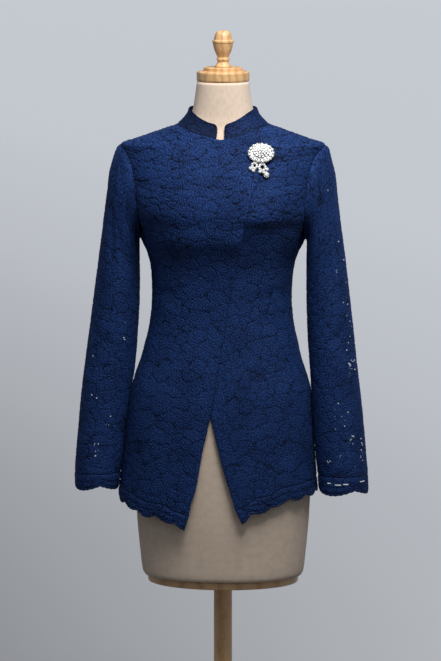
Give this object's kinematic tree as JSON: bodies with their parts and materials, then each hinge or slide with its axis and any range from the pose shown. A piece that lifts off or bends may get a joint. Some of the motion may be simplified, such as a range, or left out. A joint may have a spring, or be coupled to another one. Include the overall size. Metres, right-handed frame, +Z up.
{
  "type": "lace kebaya blouse on a limbless dress form with a stand",
  "caption": "Fitted corded-lace kebaya blouse with stand collar, crossed front, brooch and scalloped hems, shown on a linen dress form that stands on a round base",
  "frame": {"origin": "Middle of the underside of the foot disc, on the floor.", "axes": "+Z is up. The front of the blouse faces -Y. The wearer's left, which is the brooch side, is +X."},
  "size_m": [0.5598, 0.35, 1.5575],
  "materials": {
    "navy_lace": "matte",
    "silver": "polished",
    "crystal": "polished",
    "linen": "matte",
    "beech": "satin"
  },
  "bodies": {
    "root": {"right_front": "navy_lace", "left_front": "navy_lace", "back": "navy_lace", "right_sleeve": "navy_lace", "left_sleeve": "navy_lace", "collar": "navy_lace", "right_front_border": "navy_lace", "left_front_border": "navy_lace", "back_border": "navy_lace", "right_cuff_border": "navy_lace", "left_cuff_border": "navy_lace", "brooch_plate": "silver", "brooch_dome": "crystal", "brooch_left_loop": "silver", "brooch_right_loop": "silver", "brooch_stone": "crystal", "form_torso": "linen", "neck_cap": "beech", "finial": "beech", "bottom_plate": "beech", "pole": "beech", "foot_disc": "beech"}
  },
  "joints": []
}
